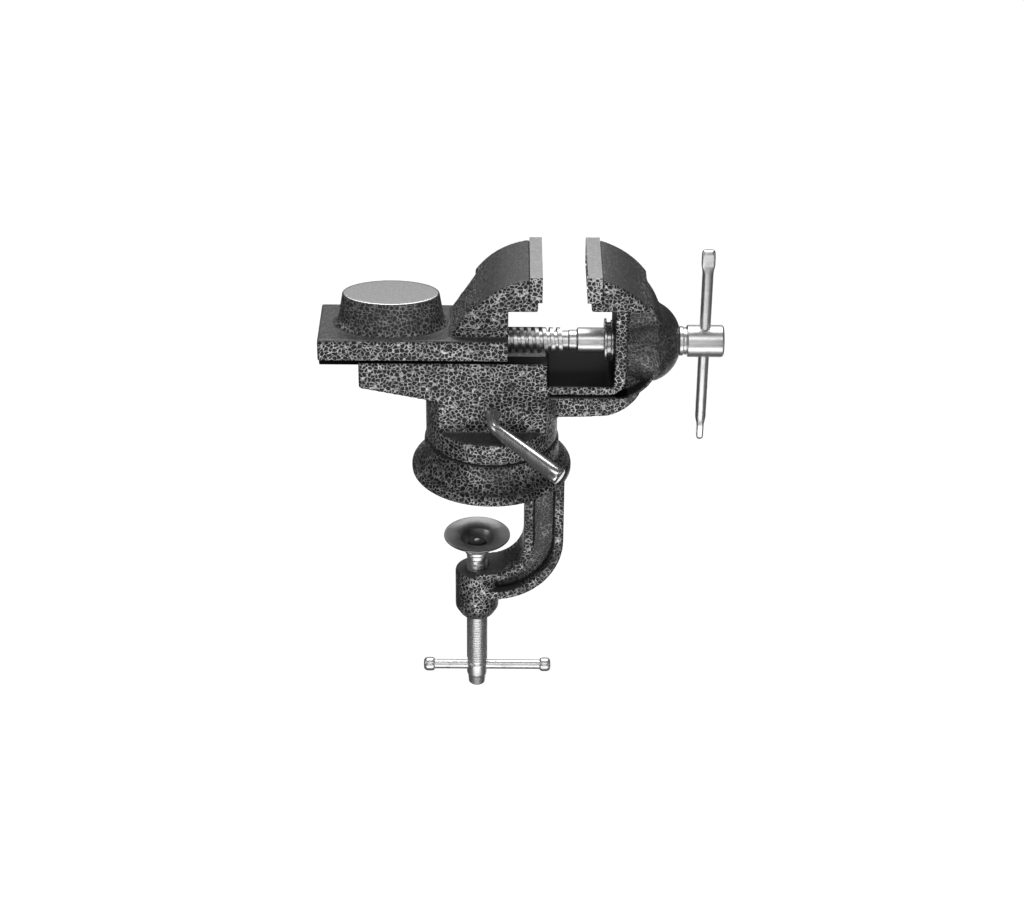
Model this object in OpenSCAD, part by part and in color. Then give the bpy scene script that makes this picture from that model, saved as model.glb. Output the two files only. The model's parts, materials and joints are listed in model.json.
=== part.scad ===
// Small clamp-on swivel bench vise.
// Millimetres. The origin is the centre of the round flange's underside, on the swivel axis.
// +Z is up, +X runs along the main screw towards its handle, and -Y is the side of the lock lever.

/* [Jaws] */
// Width of both jaws along Y
jaw_w = 50; // [46:1:60]
// Opening between the jaw plates
jaw_gap = 23.6; // [20:0.1:26]
// Height of the underside of the jaw heads
head_z = 108.5; // [107:0.5:109]
// Height of the lower edge of the jaw plates
plate_z = 114; // [113:0.5:115]
// Height of the top edge of the jaw plates
plate_top = 128.6; // [128.4:0.1:130]
// Sideways distance of the jaw plate screws from the middle
plate_screw_y = 14; // [10:1:18]

/* [Main screw] */
// Height of the main screw's axis
screw_z = 79.2; // [79:0.1:79.5]
// Thread and journal radius of the main screw
screw_r = 7; // [6.5:0.1:7]
// Pitch of the main thread
screw_pitch = 4; // [3:0.5:4]
// Depth of the main thread
screw_depth = 1.9; // [1.5:0.1:2.1]
// Radius of the drilled screw head
screw_head_r = 8.75; // [8:0.25:9]
// Length of the main T-bar
bar_len = 114; // [100:1:130]
// Radius of the main T-bar
bar_r = 3; // [2.5:0.1:3.1]

/* [Slide] */
// Half width of the slide, the base block and the throat rim
block_y = 22; // [21:0.5:23]
// Height of the base block's top
block_top = 76.3; // [76.1:0.1:76.5]
// Height of the slide's top
slide_top = 89.5; // [89:0.1:90]
// Left end of the slide
slide_x0 = -92.7; // [-96:0.1:-90]
// Right end face of the slide and neck
slide_x1 = 8.7; // [8:0.1:9]
// Length of the oval anvil along X
anvil_len = 52; // [46:1:54]
// Width of the oval anvil along Y
anvil_w = 30; // [26:1:34]
// Height of the anvil's ground top
anvil_z = 107.4; // [102:0.2:108]

/* [Swivel base] */
// Radius of the round flange
flange_r = 44; // [43:0.5:46]
// Height of the bell above the bench
bell_z = 20.7; // [20.5:0.1:20.8]
// Radius of the spigot that the vise turns on
spigot_r = 12; // [11:0.5:13]
// Radius of the skirt over the bell
skirt_r = 36; // [35:0.5:36.4]
// Width of the clamp arm's flanges along Y
arm_w = 24; // [20:1:26]

/* [Bench clamp] */
// Distance of the clamp screw's axis from the swivel axis
clamp_x = -8; // [-10:0.5:-6]
// Radius of the clamp screw
clamp_r = 6; // [5.5:0.1:6.2]
// Pitch of the clamp thread
clamp_pitch = 1.75; // [1.5:0.25:2]
// Radius of the dished pad's rim
pad_r = 18.7; // [17:0.1:20]
// Radius of the clamp T-bar
clamp_bar_r = 2.75; // [2.4:0.05:2.8]

/* [Hidden] */
$fn = 64;

fit = 0.05;             // radial clearance of running fits
eps = 0.5;              // overrun of cuts and depth of hidden joins
paint = "#3b3b3d";      // hammered enamel
ground = "#a9aaab";     // ground steel
turned = "#c4c5c6";     // turned steel

// Jaw faces
slide_face_x = 26.5;
fixed_face_x = slide_face_x + jaw_gap;
slide_plate_x = 19.8;                       // back of the sliding jaw's plate
fixed_plate_x = fixed_face_x + 7.6;         // back of the fixed jaw's plate
face_setback = 2.2;                         // casting below the plates stands back by this
plate_mid_z = (plate_z + plate_top) / 2;
plate_screw_r = 2.5;
plate_head_r = 4.6;
plate_screw_len = 15;

// Curved backs of the jaw heads, as centre and radius in the XZ plane
slide_back = [25, 86.4, 41.2];
fixed_back = [fixed_face_x - 6.3, 80.6, 48.8];
frame_back = [64, 79.4, 26];                // lower outside curve of the throat
keel_back = [57, 62, 26];                   // curved end of the rib below it

// Base block, dovetail and trough
block_x0 = -71.2;
block_x1 = 30;
floor_z = 62.6;                             // trough floor
floor_t = 5.4;
rim_x0 = 65.3;                              // inner wall of the throat
rim_x1 = 71.7;
rim_top = head_z + 1;
web_y = 13;                                 // half thickness of the column behind the rim
skin_y = 21;                                // half width of the outer skin
skin_z0 = frame_back[1] - frame_back[2];
skin_t = 1.9;
keel_y = 8;
tongue_z = 71;                            // bottom of the dovetail tongue
tongue_top = block_top + 0.3;
tongue_y0 = 11.5;                           // half width at the top of the tongue
tongue_y1 = 15;                             // half width at its bottom
way_gap = 0.3;
nut_r = 10.8;
nut_x0 = -25;
channel_y = 8;
slide_z0 = 77.4;                              // lower edge of the slide's side faces
pad_y = 16;                                 // half width of the machined ways
neck_y = 17;

// Main screw stations along X
thread_x0 = -50;
thread_x1 = 41;
relief_x1 = 45.8;
relief_r = 5.7;
clip_x = 60.4;
clip_t = 1.2;
clip_groove_r = 6.1;
hub_x1 = 100.8;
neck_r = 8;
head_x0 = 105.2;
head_x1 = 124.8;
bar_x = 114.5;
bar_drop = 2.7;                             // the bar rests this far below centre
swage_len = 13;
swage_w = 7.6;
swage_t = 4;

// Swivel and its lock
skirt_z = 21;
rim_t = 3.8;                                // height of the flange's upright rim
cove_r = 8;                                 // hollow sweep from the rim up to the collar
ledge_z = 34;
bore_top = 55.5;
spigot_top = 54.5;
lock_x = 0.8;
lock_z = 45.5;
lock_r = 4;
groove_r = 10.5;
groove_h = 8.8;
shoe_tip_y = -(groove_r + 0.15);
shoe_len = 4.5;
lever_dip = 24;                             // the arm hangs this far below level at rest
lever_run = [39.1, -25];                    // second leg: sideways reach and run away from the body
lever_out = 14;                             // the corner stands this far out of the front face
lever_bend = 8;
lever_r0 = 3.3;
lever_r1 = 4.85;

// Clamp arm, as inner and outer arcs in the XZ plane
arm_x0 = 18.4;
arm_x1 = 40.5;
arm_in = [-1.6, -44.5, 20];
arm_out = [1, -42, 39.5];
arm_web = 8;
arm_flange = 5.2;
boss_r = 12.3;
boss_z1 = -67;
boss_z0 = -97;
boss_chamfer = 5;

// Clamp screw, pad and handle
clamp_z0 = -146.5;
clamp_shoulder = -56.3;
pad_c = -40;                                // centre of the pad's spherical seat
pad_out = 14;
pad_in = 11.5;
pad_hole_r = 4.6;
rivet_r = 3;
clamp_bar_z = -134.5;
clamp_bar_x0 = -35.5;
clamp_bar_x1 = 31.4;
knob_r = 4;
knob_len = 6.5;

// Points of an arc about [cx, cy]
function arc(cx, cy, r, a0, a1, n = 16) =
    [for (i = [0 : n]) let (a = a0 + (a1 - a0) * i / n) [cx + r * cos(a), cy + r * sin(a)]];
function back_arc(c, a0, a1, n = 20) = arc(c[0], c[1], c[2], a0, a1, n);

// A profile drawn in X and Z, made w thick across Y
module across_y(w) { rotate([90, 0, 0]) linear_extrude(w, center = true) children(); }
// A profile drawn in Y and Z, drawn out along X
module along_x(x0, x1) { translate([x0, 0, 0]) rotate([90, 0, 90]) linear_extrude(x1 - x0) children(); }
// A profile of station along X and radius, turned about the main screw's axis
module turned_x() {
    translate([0, 0, screw_z]) rotate([0, 90, 0]) rotate_extrude() rotate(90) mirror([0, 1]) children();
}
// A plain round bar along X on the main screw's axis
module bar_along_x(x0, x1, r) {
    translate([x0, 0, screw_z]) rotate([0, 90, 0]) cylinder(h = x1 - x0, r = r);
}
module hole_along_y(x, z, y0, y1, r) {
    translate([x, y0, z]) rotate([-90, 0, 0]) cylinder(h = y1 - y0, r = r);
}
module ring_on_screw(x0, t, r) {
    difference() {
        bar_along_x(x0, x0 + t, r);
        bar_along_x(x0 - eps, x0 + t + eps, screw_r + 0.1);
    }
}

// ---- Swivel base: flange, bell, spigot, clamp arm and threaded boss ----
module bell() {
    rotate_extrude($fn = 96)
        polygon(concat([[0, 0], [flange_r - 0.6, 0], [flange_r, 0.6], [flange_r, rim_t],
                        [flange_r - 0.8, rim_t + 0.8]],
                       arc(flange_r + 1, 13, cove_r, 255, 180, 8),
                       [[flange_r + 1 - cove_r, bell_z - 0.9], [flange_r + 0.1 - cove_r, bell_z],
                        [0, bell_z]]));
}
module arm_outline() {
    polygon(concat([[arm_x1, 1], [arm_x1, arm_out[1]]], back_arc(arm_out, 0, -90),
                   [[clamp_x, arm_out[1] - arm_out[2]], [clamp_x, arm_in[1] - arm_in[2]]],
                   back_arc(arm_in, -90, 0), [[arm_x0, 1]]));
}
module arm_inner_flange() {
    polygon(concat([[clamp_x, arm_in[1] - arm_in[2]]], back_arc(arm_in, -90, 0),
                   [[arm_x0, 1], [arm_x0 + arm_flange, 1]],
                   arc(arm_in[0], arm_in[1], arm_in[2] + arm_flange, 0, -90, 20),
                   [[clamp_x, arm_in[1] - arm_in[2] - arm_flange]]));
}
module arm_outer_flange() {
    polygon(concat([[arm_x1, 1]], back_arc(arm_out, 0, -90), [[clamp_x, arm_out[1] - arm_out[2]]],
                   [[clamp_x, arm_out[1] - arm_out[2] + arm_flange]],
                   arc(arm_out[0], arm_out[1], arm_out[2] - arm_flange, -90, 0, 20),
                   [[arm_x1 - arm_flange, 1]]));
}
module clamp_boss() {
    translate([clamp_x, 0, 0]) rotate_extrude()
        polygon([[0, boss_z0], [boss_r - 3, boss_z0], [boss_r, boss_z0 + boss_chamfer],
                 [boss_r, boss_z1 - 1], [boss_r - 1, boss_z1], [0, boss_z1]]);
}
module swivel_base() {
    color(paint) difference() {
        union() {
            bell();
            rotate_extrude() polygon([[0, 10], [spigot_r, 10], [spigot_r, lock_z - groove_h / 2],
                [groove_r, lock_z - groove_h / 2 + 1.5], [groove_r, lock_z + groove_h / 2 - 1.5],
                [spigot_r, lock_z + groove_h / 2], [spigot_r, spigot_top - 1.5], [spigot_r - 1.5, spigot_top],
                [0, spigot_top]]);
            across_y(arm_web) arm_outline();
            across_y(arm_w) arm_inner_flange();
            across_y(arm_w) arm_outer_flange();
            clamp_boss();
        }
        translate([clamp_x, 0, boss_z0 - eps]) cylinder(h = boss_z1 - boss_z0 + 4, r = clamp_r + fit);
        underside_pocket();
    }
}
// Cored hollow of the bell, open at the bench side and clear of the arm's root
module underside_pocket() {
    difference() {
        translate([0, 0, -eps]) rotate_extrude() polygon([[16, 0], [35, 0], [31, 15], [16, 15]]);
        translate([10, -30, -1]) cube([40, 60, 20]);
    }
}

// ---- Vise body: skirt, base block, trough, throat, hub and fixed jaw ----
module block_outline() {
    polygon(concat([[block_x0, block_top], [block_x1, block_top], [block_x1, ledge_z], [-27, ledge_z],
             [-27, 45]], arc(-35, 45.5, 8, 0, 84, 6), [[block_x0, 60.8]]));
}
module throat_outline() {
    polygon(concat([[block_x1 - 8, skin_z0], [frame_back[0], skin_z0]], back_arc(frame_back, -90, -8),
                   [[fixed_back[0] + fixed_back[2], screw_z]], back_arc(fixed_back, 4, 34),
                   [[rim_x0, rim_top]], arc(rim_x0 - 4, floor_z + 4, 4, 0, -90, 6),
                   [[block_x1 - 8, floor_z]]));
}
module rim_outline() {
    polygon(concat([[block_x1 - 8, floor_z - floor_t]],
                   arc(rim_x1 - 9, floor_z - floor_t + 9, 9, -90, 0, 8),
                   [[rim_x1, rim_top], [rim_x0, rim_top]], arc(rim_x0 - 4, floor_z + 4, 4, 0, -90, 6),
                   [[block_x1 - 8, floor_z]]));
}
// Outer skin of the throat, from the block round to the hub
module skin_outline() {
    polygon(concat([[block_x1 - 8, skin_z0], [frame_back[0], skin_z0]], back_arc(frame_back, -90, -8),
                   arc(frame_back[0], frame_back[1], frame_back[2] - skin_t, -8, -90, 14),
                   [[block_x1 - 8, skin_z0 + skin_t]]));
}
// Stiffening rib below the throat
module keel_outline() {
    polygon(concat([[block_x1 - 8, skin_z0 + 1], [block_x1 - 8, ledge_z + 1],
                    [keel_back[0], ledge_z + 2.2]],
                   back_arc(keel_back, -84, -28, 10), [[82, skin_z0 + 3]]));
}
module fixed_head_outline() {
    polygon(concat([[fixed_face_x + face_setback, head_z], [fixed_face_x + face_setback, plate_z],
                    [fixed_plate_x, plate_z]],
                   back_arc(fixed_back, acos((fixed_plate_x - fixed_back[0]) / fixed_back[2]),
                            asin((head_z - fixed_back[1]) / fixed_back[2]))));
}
module dovetail_cut() {
    along_x(block_x0 - eps, block_x1 + eps) {
        polygon([[-tongue_y0 - way_gap, block_top + 1], [-tongue_y0 - way_gap, tongue_top],
                 [-tongue_y1 - way_gap, tongue_z - way_gap], [tongue_y1 + way_gap, tongue_z - way_gap],
                 [tongue_y0 + way_gap, tongue_top], [tongue_y0 + way_gap, block_top + 1]]);
        translate([0, screw_z]) circle(r = nut_r + 0.6);
    }
}
// Cored hollow inside the skirt: a full ring below the ledge, two side pockets above it
module skirt_hollow() {
    translate([0, 0, skirt_z - eps]) ring_prism(17, 31.5, ledge_z - 3.5 - skirt_z + eps);
    intersection() {
        translate([0, 0, skirt_z]) ring_prism(17, 31, 50 - skirt_z);
        translate([-40, -block_y + 4.5, skirt_z]) cube([80, 2 * block_y - 9, 40]);
    }
}
module ring_prism(r0, r1, h) {
    difference() {
        cylinder(h = h, r = r1);
        translate([0, 0, -1]) cylinder(h = h + 2, r = r0);
    }
}
module vise_body() {
    color(paint) difference() {
        union() {
            translate([0, 0, skirt_z]) cylinder(h = 1, r1 = skirt_r - 0.9, r2 = skirt_r, $fn = 96);
            translate([0, 0, skirt_z + 1]) cylinder(h = ledge_z - skirt_z - 1, r = skirt_r, $fn = 96);
            intersection() {
                translate([0, 0, ledge_z - 1]) cylinder(h = 61 - ledge_z, r = skirt_r, $fn = 96);
                translate([-60, -block_y, skirt_z]) cube([120, 2 * block_y, 60]);
            }
            across_y(2 * block_y) block_outline();
            across_y(2 * web_y) throat_outline();
            across_y(2 * block_y) rim_outline();
            across_y(2 * skin_y) skin_outline();
            across_y(2 * keel_y) keel_outline();
            across_y(jaw_w) fixed_head_outline();
            turned_x() polygon(concat([[rim_x1 - 4, 0], [rim_x1 - 4, 18], [82, 21.5]],
                                      arc(81.1, 2.14, 20.55, 70, 16.5, 10), [[hub_x1, 0]]));
            hole_along_y(lock_x, lock_z, -block_y - 1.2, -block_y + 2, 6.5);
        }
        dovetail_cut();
        bar_along_x(rim_x0 - eps, hub_x1 + eps, screw_r + fit);
        translate([0, 0, skirt_z - eps]) cylinder(h = bore_top - skirt_z + eps, r = spigot_r + fit);
        skirt_hollow();
        hole_along_y(lock_x, lock_z, -block_y - 3, -spigot_r + 1, lock_r + fit);
        for (s = [-1, 1]) translate([fixed_plate_x - eps, s * plate_screw_y, plate_mid_z])
            rotate([0, 90, 0]) cylinder(h = plate_screw_len - 7.6 + 2 * eps, r = plate_screw_r + fit);
    }
}

// ---- Sliding jaw: slide, dovetail tongue, nut barrel, anvil, neck and head ----
module slide_section() {
    polygon([[-block_y, slide_z0], [-block_y, slide_top - 1], [-block_y + 1, slide_top],
             [block_y - 1, slide_top], [block_y, slide_top - 1], [block_y, slide_z0],
             [pad_y, slide_z0], [pad_y, tongue_top], [tongue_y0, tongue_top], [tongue_y1, tongue_z],
             [-tongue_y1, tongue_z], [-tongue_y0, tongue_top],
             [-pad_y, tongue_top], [-pad_y, slide_z0]]);
}
module anvil_layer(z, grow) {
    translate([-54, 0, z]) linear_extrude(0.1)
        polygon([for (a = [0 : 7.5 : 352.5])
                 [(anvil_len / 2 + grow) * cos(a), (anvil_w / 2 + grow) * sin(a)]]);
}
module anvil() {
    hull() { anvil_layer(anvil_z - 0.1, 0); anvil_layer(slide_top + 4, 2.2); }
    hull() { anvil_layer(slide_top + 4, 2.2); anvil_layer(slide_top - 1, 5.5); }
}
module slide_head_outline() {
    polygon(concat([[slide_face_x - face_setback, head_z], [slide_face_x - face_setback, plate_z],
                    [slide_plate_x, plate_z]],
                   back_arc(slide_back, acos((slide_plate_x - slide_back[0]) / slide_back[2]),
                            180 - asin((head_z - slide_back[1]) / slide_back[2]))));
}
module sliding_jaw() {
    color(paint) difference() {
        union() {
            along_x(slide_x0, slide_x1) slide_section();
            bar_along_x(nut_x0, slide_x1, nut_r);
            anvil();
            across_y(2 * neck_y) polygon([[slide_x1, slide_top - 2], [slide_x1, head_z + 1], [-8, 112],
                                          [-24, slide_top - 2]]);
            for (s = [-1, 1]) translate([-17, s * (neck_y - 1), 96.3]) rotate([0, 90, 0])
                cylinder(h = slide_x1 + 17, r = 2.6);
            across_y(jaw_w) slide_head_outline();
        }
        bar_along_x(nut_x0 - eps, slide_x1 + eps, screw_r + fit);
        bar_along_x(slide_x0 + 5, nut_x0, channel_y);
        translate([slide_x0 + 5, -channel_y, tongue_z - 5])
            cube([nut_x0 - slide_x0 - 5, 2 * channel_y, screw_z - tongue_z + 5]);
        for (s = [-1, 1]) translate([slide_plate_x + eps, s * plate_screw_y, plate_mid_z])
            rotate([0, -90, 0]) cylinder(h = plate_screw_len - 6.7 + 2 * eps, r = plate_screw_r + fit);
    }
}

// ---- Jaw plates and their countersunk screws: head's face at x = 0, shank towards +X ----
module countersunk(grow) {
    rotate([0, 90, 0]) rotate_extrude()
        polygon([[0, -grow], [plate_head_r + grow, -grow], [plate_head_r + grow, 0.4],
                 [plate_screw_r + grow, 2.5], [plate_screw_r + grow, plate_screw_len],
                 [0, plate_screw_len]]);
}
module plate_screw() {
    difference() {
        countersunk(0);
        translate([-eps, -0.6, -plate_head_r]) cube([1.4 + eps, 1.2, 2 * plate_head_r]);
    }
}
module jaw_plate(t) {
    difference() {
        translate([0, -jaw_w / 2, plate_z]) cube([t, jaw_w, plate_top - plate_z]);
        for (s = [-1, 1]) translate([0.3, s * plate_screw_y, plate_mid_z]) countersunk(fit);
        for (s = [-1, 1]) translate([-eps, s * plate_screw_y, plate_mid_z]) rotate([0, 90, 0])
            cylinder(h = 1, r = plate_head_r + fit);
    }
}
module plate_screw_pair() {
    for (s = [-1, 1]) translate([0.3, s * plate_screw_y, plate_mid_z]) plate_screw();
}
module fixed_jaw_plate() {
    color(ground) translate([fixed_face_x, 0, 0]) jaw_plate(fixed_plate_x - fixed_face_x);
}
module fixed_jaw_plate_screws() { color(turned) translate([fixed_face_x, 0, 0]) plate_screw_pair(); }
module sliding_jaw_plate() {
    color(ground) translate([slide_face_x, 0, 0]) rotate([0, 0, 180])
        jaw_plate(slide_face_x - slide_plate_x);
}
module sliding_jaw_plate_screws() {
    color(turned) translate([slide_face_x, 0, 0]) rotate([0, 0, 180]) plate_screw_pair();
}

// ---- Main screw and what is on it ----
turns = floor((thread_x1 - thread_x0) / screw_pitch);
function thread_turn(x, p, r, d) = [[x, r - d], [x + 0.3 * p, r - d], [x + 0.42 * p, r], [x + 0.88 * p, r]];
module lead_screw() {
    color(turned) difference() {
        turned_x() polygon(concat(
            [[thread_x0 - 1, 0], [thread_x0 - 1, screw_r - screw_depth]],
            [for (i = [0 : turns - 1])
                each thread_turn(thread_x0 + i * screw_pitch, screw_pitch, screw_r, screw_depth)],
            [[thread_x0 + turns * screw_pitch, relief_r], [relief_x1, relief_r], [relief_x1, screw_r],
             [clip_x, screw_r], [clip_x, clip_groove_r], [clip_x + clip_t, clip_groove_r],
             [clip_x + clip_t, screw_r], [hub_x1 + 0.1, screw_r], [hub_x1 + 0.1, neck_r],
             [head_x0 - 2, neck_r],
             [head_x0 - 1.8, neck_r - 0.6], [head_x0 - 0.6, neck_r - 0.6], [head_x0, screw_head_r],
             [head_x1 - 1, screw_head_r], [head_x1, screw_head_r - 1], [head_x1, 0]]));
        translate([bar_x, 0, screw_z - 20]) cylinder(h = 40, r = bar_r + fit);
    }
}
module retaining_clip() {
    color(ground) difference() {
        bar_along_x(clip_x + 0.05, clip_x + clip_t - 0.05, 12);
        bar_along_x(clip_x - eps, clip_x + clip_t + eps, 8.6);
        translate([clip_x - eps, -clip_groove_r, screw_z - 20])
            cube([clip_t + 2 * eps, 2 * clip_groove_r, 20]);
    }
    color(ground) for (a = [0, 110, 250]) translate([clip_x + 0.05, 0, screw_z]) rotate([a, 0, 0])
        translate([0, -1.6, clip_groove_r + 0.05]) cube([clip_t - 0.1, 3.2, 3.4]);
}
module spring_washer() {
    color(ground) difference() {
        ring_on_screw(61.75, 2.1, 10);
        translate([61, -0.6, screw_z]) rotate([0, 0, 20]) cube([6, 1.2, 12]);
    }
}
module thrust_washer() { color(ground) ring_on_screw(64, 1.2, 11.2); }
module lead_screw_handle() {
    z0 = screw_z - bar_drop - bar_len / 2;
    color(turned) translate([bar_x, 0, z0]) {
        translate([0, 0, swage_len - 2]) cylinder(h = bar_len - 2 * swage_len + 4, r = bar_r);
        rotate([0, 0, 90]) swaged_end();
        translate([0, 0, bar_len]) mirror([0, 0, 1]) swaged_end();
    }
}
// Flattened end, with its tip at z = 0
module swaged_end() {
    intersection() {
        translate([-swage_w / 2, -swage_t / 2, 0]) cube([swage_w, swage_t, swage_len]);
        union() {
            translate([0, 0, swage_w / 2]) rotate([90, 0, 0])
                cylinder(h = swage_t + 2, r = swage_w / 2, center = true);
            translate([-swage_w / 2, -swage_t, swage_w / 2]) cube([swage_w, 2 * swage_t, swage_len]);
        }
    }
}

// ---- Bench clamp ----
clamp_turns = floor((clamp_shoulder - 6 - (clamp_z0 + 12.5)) / clamp_pitch);
function vee(z, p, r, d) = [[r, z], [r - d, z + 0.5 * p]];
module clamp_screw() {
    t0 = clamp_z0 + 12.5;
    color(turned) translate([clamp_x, 0, 0]) difference() {
        rotate_extrude() polygon(concat(
            [[0, clamp_z0], [clamp_r - 1.8, clamp_z0], [clamp_r - 1.1, clamp_z0 + 0.8],
             [clamp_r - 0.7, clamp_z0 + 6], [clamp_r, clamp_z0 + 7]],
            [for (i = [0 : clamp_turns - 1]) each vee(t0 + i * clamp_pitch, clamp_pitch, clamp_r, 0.9)],
            [[clamp_r, t0 + clamp_turns * clamp_pitch], [clamp_r, clamp_shoulder - 1],
             [clamp_r - 1, clamp_shoulder], [rivet_r, clamp_shoulder], [rivet_r, -50.1], [5.2, -50.1],
             [5.2, -49.3], [3.4, -48.3], [0, -48.1]]));
        translate([-20, 0, clamp_bar_z]) rotate([0, 90, 0]) cylinder(h = 40, r = clamp_bar_r + fit);
    }
}
module clamp_pad_washer() {
    color(turned) translate([clamp_x, 0, 0]) rotate_extrude()
        polygon([[rivet_r + 0.1, -56.2], [6.8, -56.2], [6.8, -54.6], [6.2, -53.9], [rivet_r + 0.1, -53.9]]);
}
module clamp_pad() {
    a0 = -90 + asin(pad_hole_r / pad_out);
    a1 = -90 + 35;
    a2 = -90 + asin(pad_hole_r / pad_in);
    color(ground) translate([clamp_x, 0, 0]) rotate_extrude()
        polygon(concat(arc(0, pad_c, pad_out, a0, a1, 5),
                       [[pad_r, -45.6], [pad_r, -44.9], [pad_r - 0.5, -44.5]],
                       arc(0, pad_c, pad_in, a1, a2, 5)));
}
module clamp_handle() {
    color(turned) translate([clamp_bar_x0, 0, clamp_bar_z]) rotate([0, 90, 0])
        cylinder(h = clamp_bar_x1 - clamp_bar_x0, r = clamp_bar_r);
}
// Turned knob with rounded corners, blind bored for the bar; its mouth is at z = 0
module knob() {
    difference() {
        rotate_extrude() polygon(concat([[0, -knob_len + 3.5]],
                                        arc(knob_r - 1.5, -knob_len + 5, 1.5, -90, 0, 5),
                                        arc(knob_r - 1.5, 2, 1.5, 0, 90, 5), [[0, 3.5]]));
        translate([0, 0, -knob_len]) cylinder(h = knob_len, r = clamp_bar_r);
    }
}
module clamp_handle_knobs() {
    color(turned) {
        translate([clamp_bar_x1, 0, clamp_bar_z]) rotate([0, 90, 0]) knob();
        translate([clamp_bar_x0, 0, clamp_bar_z]) rotate([0, -90, 0]) knob();
    }
}

// ---- Swivel lock ----
module lock_shoe() {
    color(ground) translate([lock_x, shoe_tip_y - shoe_len, lock_z]) rotate([-90, 0, 0]) rotate_extrude()
        polygon([[0, 0], [lock_r, 0], [lock_r, shoe_len - 1.2], [lock_r - 1.2, shoe_len], [0, shoe_len]]);
}
// The shank comes straight out of the body, bends and then widens towards its end
module lock_lever() {
    turn = 90 + atan2(lever_run[1], lever_run[0]);
    tangent = lever_bend * tan(turn / 2);
    color(turned) {
        hole_along_y(lock_x, lock_z, -block_y - 2, shoe_tip_y - shoe_len - 0.1, lock_r);
        translate([lock_x, -block_y - lever_out, lock_z]) rotate([0, lever_dip, 0]) {
            hull() {
                translate([0, lever_out - 0.5, 0]) sphere(r = lever_r0, $fn = 32);
                bend_point(0, tangent);
            }
            for (i = [1 : 4]) hull() {
                bend_point((i - 1) * turn / 4, tangent);
                bend_point(i * turn / 4, tangent);
            }
            hull() {
                bend_point(turn, tangent);
                rotate([0, 90, turn - 90]) translate([0, 0, norm(lever_run) - 1.01])
                    cylinder(h = 0.01, r = lever_r1, $fn = 32);
                rotate([0, 90, turn - 90]) translate([0, 0, norm(lever_run) - 0.01])
                    cylinder(h = 0.01, r = lever_r1 - 1, $fn = 32);
            }
        }
    }
}
// A ball on the bend's centre line, a degrees round it
module bend_point(a, tangent) {
    translate([lever_bend * (1 - cos(a)), tangent - lever_bend * sin(a), 0]) rotate([0, 0, a])
        sphere(r = lever_r0, $fn = 32);
}

swivel_base();
vise_body();
fixed_jaw_plate();
fixed_jaw_plate_screws();
sliding_jaw();
sliding_jaw_plate();
sliding_jaw_plate_screws();
lead_screw();
retaining_clip();
spring_washer();
thrust_washer();
lead_screw_handle();
clamp_screw();
clamp_pad_washer();
clamp_pad();
clamp_handle();
clamp_handle_knobs();
lock_shoe();
lock_lever();
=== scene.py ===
# %% [markdown]
# # A small clamp-on swivel bench vise
# Three iron castings in hammered enamel carry bright turned and ground steel parts. The
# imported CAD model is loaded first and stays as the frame: every piece below is made in its
# coordinates, in metres, and rides on one of its bodies, so it moves with the joints.

# %% Load the frame
import json
import math
import bmesh
import bpy
from mathutils import Matrix, Vector


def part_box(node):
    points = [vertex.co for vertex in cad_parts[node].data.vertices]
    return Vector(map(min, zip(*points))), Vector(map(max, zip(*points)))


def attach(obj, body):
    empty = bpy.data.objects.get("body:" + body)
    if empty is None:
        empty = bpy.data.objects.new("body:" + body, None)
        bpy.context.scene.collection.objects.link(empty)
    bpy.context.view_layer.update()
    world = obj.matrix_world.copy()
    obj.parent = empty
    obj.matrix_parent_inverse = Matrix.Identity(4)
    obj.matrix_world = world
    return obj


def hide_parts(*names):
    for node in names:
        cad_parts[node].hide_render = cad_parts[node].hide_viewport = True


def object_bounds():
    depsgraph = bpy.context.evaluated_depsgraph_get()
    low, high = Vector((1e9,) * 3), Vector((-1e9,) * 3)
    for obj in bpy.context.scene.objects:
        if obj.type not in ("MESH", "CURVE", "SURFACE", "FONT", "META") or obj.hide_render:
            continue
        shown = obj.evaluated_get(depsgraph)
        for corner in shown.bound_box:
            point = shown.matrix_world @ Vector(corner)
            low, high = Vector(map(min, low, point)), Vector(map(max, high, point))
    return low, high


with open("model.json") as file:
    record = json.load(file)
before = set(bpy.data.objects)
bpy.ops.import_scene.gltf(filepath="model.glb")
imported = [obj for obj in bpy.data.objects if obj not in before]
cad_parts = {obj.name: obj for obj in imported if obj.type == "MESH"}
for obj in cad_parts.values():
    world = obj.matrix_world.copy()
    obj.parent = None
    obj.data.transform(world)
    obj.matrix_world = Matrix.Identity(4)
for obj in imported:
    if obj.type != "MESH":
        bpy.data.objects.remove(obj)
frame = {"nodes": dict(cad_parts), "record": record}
cad_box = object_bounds()
mm = 0.001
X, Y, Z = Vector((1, 0, 0)), Vector((0, 1, 0)), Vector((0, 0, 1))
print("CAD box in mm:", [[round(v / mm, 1) for v in corner] for corner in cad_box])

# %% [markdown]
# ## Helpers for node trees
# Materials and Geometry Nodes trees are both wired by hand in a script, which soon hides
# the idea behind the sockets. A small class wraps one output socket so that `1 - mask` or
# `a * b` adds the Math node by itself, and one method adds every other kind of node:
# settings first, then values or links for its sockets.

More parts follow.
